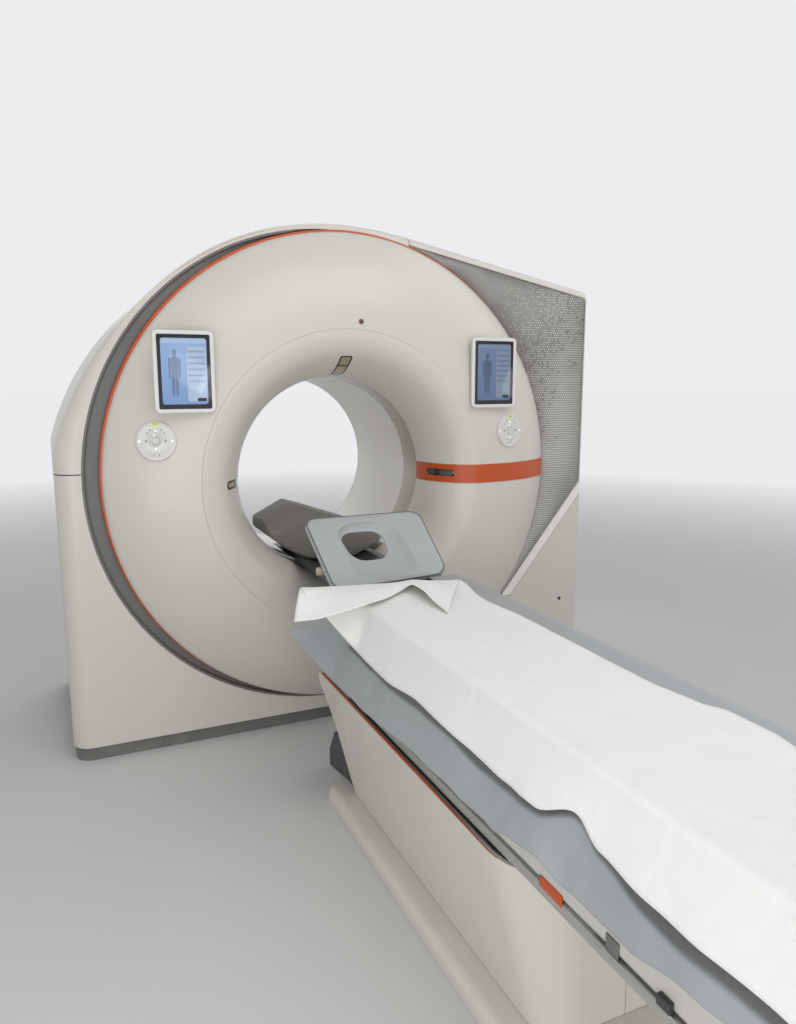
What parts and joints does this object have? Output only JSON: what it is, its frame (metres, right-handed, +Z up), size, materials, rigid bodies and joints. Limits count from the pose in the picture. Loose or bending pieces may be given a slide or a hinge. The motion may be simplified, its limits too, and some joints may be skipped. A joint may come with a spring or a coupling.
{
  "type": "ct scanner",
  "caption": "Computed tomography scanner: a domed ring gantry with an open bore, and a lifting patient table with a sliding top, mattress, paper sheet, head rest and arm support.",
  "frame": {"origin": "on the floor, straight below the bore's axis, in the scan plane", "axes": "+Z up; +Y along the bore, from the table into the gantry; +X to the right as seen from the table"},
  "size_m": [2.368, 3.79, 2.081],
  "materials": {
    "white_cover": "satin",
    "grey_trim": "satin",
    "panel_grey": "satin",
    "orange_accent": "satin",
    "black_plastic": "matte",
    "cast_frame": "matte",
    "bearing_steel": "brushed",
    "drum_aluminium": "machined",
    "copper_winding": "lacquered",
    "dark_metal": "matte",
    "window_film": "clear",
    "disc_plastic": "gloss",
    "tablet_shell": "satin",
    "carbon_top": "satin",
    "grey_vinyl": "matte",
    "paper": "matte",
    "foam_grey": "matte"
  },
  "bodies": {
    "gantry": {"base_frame": "cast_frame", "stator_frame": "cast_frame", "bearing_outer_race": "bearing_steel", "drive_stator": "copper_winding", "brush_block": "black_plastic", "base_plinth": "grey_trim", "left_lower_cover": "white_cover", "right_lower_cover": "white_cover", "arch_cover": "white_cover", "right_top_cover": "white_cover", "slanted_trim": "white_cover", "printed_panel": "panel_grey", "rim_band": "grey_trim", "accent_ring": "orange_accent", "front_cover": "white_cover", "funnel": "white_cover", "accent_band": "orange_accent", "window_ring": "window_film", "bore_liner": "white_cover", "rear_cover": "white_cover", "rear_funnel": "white_cover", "laser_windows": "black_plastic", "status_sensor": "black_plastic", "control_panel_left": "disc_plastic", "control_panel_right": "disc_plastic", "tablet_dock_left": "white_cover", "tablet_dock_right": "white_cover", "floor_plinth": "white_cover", "pedestal_panel_left": "white_cover", "pedestal_panel_right": "white_cover", "table_accent_line": "orange_accent", "lift_outer_columns": "cast_frame", "link_bracket": "dark_metal"},
    "rotor": {"rotor_drum": "drum_aluminium", "bearing_inner_race": "bearing_steel", "bearing_balls": "bearing_steel", "magnet_ring": "dark_metal", "slip_ring": "copper_winding", "xray_tube": "drum_aluminium", "collimator": "dark_metal", "detector_arc": "dark_metal", "generators": "cast_frame", "balance_weight": "dark_metal"},
    "lift": {"lift_inner_columns": "bearing_steel", "skirt": "grey_trim", "table_beam": "white_cover", "beam_trim": "grey_trim"},
    "spindle": {"lift_spindle": "bearing_steel"},
    "table_top": {"tabletop": "carbon_top", "mattress": "grey_vinyl", "cover_flaps": "grey_vinyl", "paper_sheet": "paper", "extension_tray": "carbon_top", "arm_support": "foam_grey", "head_rest_base": "carbon_top"},
    "head_rest": {"head_rest": "grey_vinyl"},
    "key_left": {"centre_key_left": "disc_plastic"},
    "key_right": {"centre_key_right": "disc_plastic"},
    "tablet_left": {"tablet_left": "tablet_shell"},
    "tablet_right": {"tablet_right": "tablet_shell"}
  },
  "joints": [
    {"name": "rotor_spin", "type": "hinge", "parent": "gantry", "child": "rotor", "pos_m": [0, 0, 1.064], "axis": [0, 1, 0], "continuous": true},
    {"name": "table_lift", "type": "slide", "parent": "gantry", "child": "lift", "axis": [0, 0, 1], "range_m": [0, 0.18]},
    {"name": "spindle_spin", "type": "hinge", "parent": "gantry", "child": "spindle", "pos_m": [0, -1.15, 0.2], "axis": [0, 0, 1], "range_deg": [0, 3241]},
    {"name": "tabletop_slide", "type": "slide", "parent": "lift", "child": "table_top", "axis": [0, 1, 0], "range_m": [-0.35, 1.1], "deforming": ["cover_flaps", "paper_sheet"]},
    {"name": "head_rest_tilt", "type": "hinge", "parent": "table_top", "child": "head_rest", "pos_m": [0, -0.63, 0.782], "axis": [1, 0, 0], "range_deg": [-20, 0]},
    {"name": "key_left_press", "type": "slide", "parent": "gantry", "child": "key_left", "axis": [0.3559, 0.9314, -0.0768], "range_m": [0, 0.002], "stiffness_N_per_m": 800},
    {"name": "key_right_press", "type": "slide", "parent": "gantry", "child": "key_right", "axis": [-0.2323, 0.9711, -0.0552], "range_m": [0, 0.002], "stiffness_N_per_m": 800},
    {"name": "tablet_left_pull", "type": "slide", "parent": "gantry", "child": "tablet_left", "axis": [0, -1, 0], "range_m": [0, 0.1]},
    {"name": "tablet_right_pull", "type": "slide", "parent": "gantry", "child": "tablet_right", "axis": [0, -1, 0], "range_m": [0, 0.1]}
  ],
  "couplings": [
    {"joint": "spindle_spin", "follows": "table_lift", "rad_per_m": 314.16}
  ]
}
